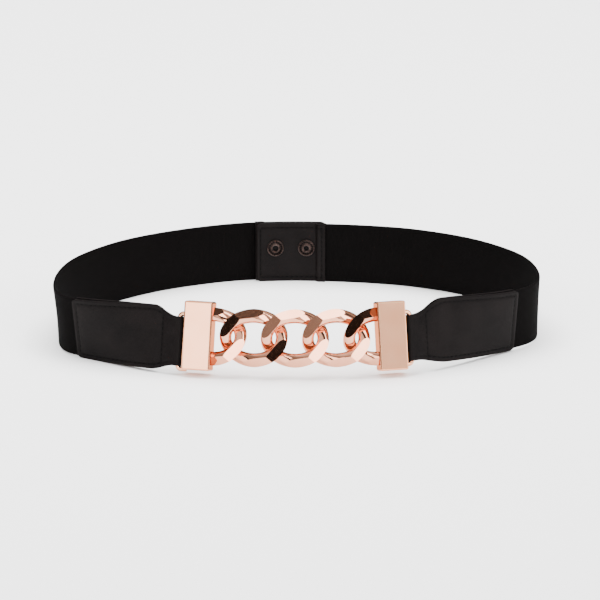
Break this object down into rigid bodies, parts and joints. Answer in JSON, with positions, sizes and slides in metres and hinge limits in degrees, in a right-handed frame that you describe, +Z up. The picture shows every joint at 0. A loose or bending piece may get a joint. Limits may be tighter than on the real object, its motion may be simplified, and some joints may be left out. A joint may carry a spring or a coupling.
{
  "type": "stretch waist belt with chain front",
  "caption": "Stretch waist belt: elastic webbing joined in front by a curb chain between bar ends and leather tabs, and at the back by a press stud closure.",
  "frame": {"origin": "middle of the belt's box, on the surface that its lower edge stands on", "axes": "+X to the right along the belt's width, +Y from the chain front to the back closure, +Z up across the band"},
  "size_m": [0.2922, 0.2228, 0.0438],
  "materials": {
    "webbing": "matt black woven elastic",
    "leather": "brown-black smooth leather with a low sheen",
    "rose_gold": "mirror polished rose gold plating",
    "rose_gold_satin": "polished rose gold plating, soft reflections",
    "stud_metal": "antique brown metal"
  },
  "bodies": {
    "root": {"webbing_left": "webbing", "webbing_right": "webbing", "front_tab_left": "leather", "front_tab_right": "leather", "closure_tab_inner": "leather", "closure_tab_outer": "leather", "bar_left": "rose_gold_satin", "bar_right": "rose_gold_satin", "link_1": "rose_gold", "link_2": "rose_gold", "link_3": "rose_gold", "stud_1": "stud_metal", "stud_2": "stud_metal", "socket_1": "stud_metal", "socket_2": "stud_metal"}
  },
  "joints": []
}
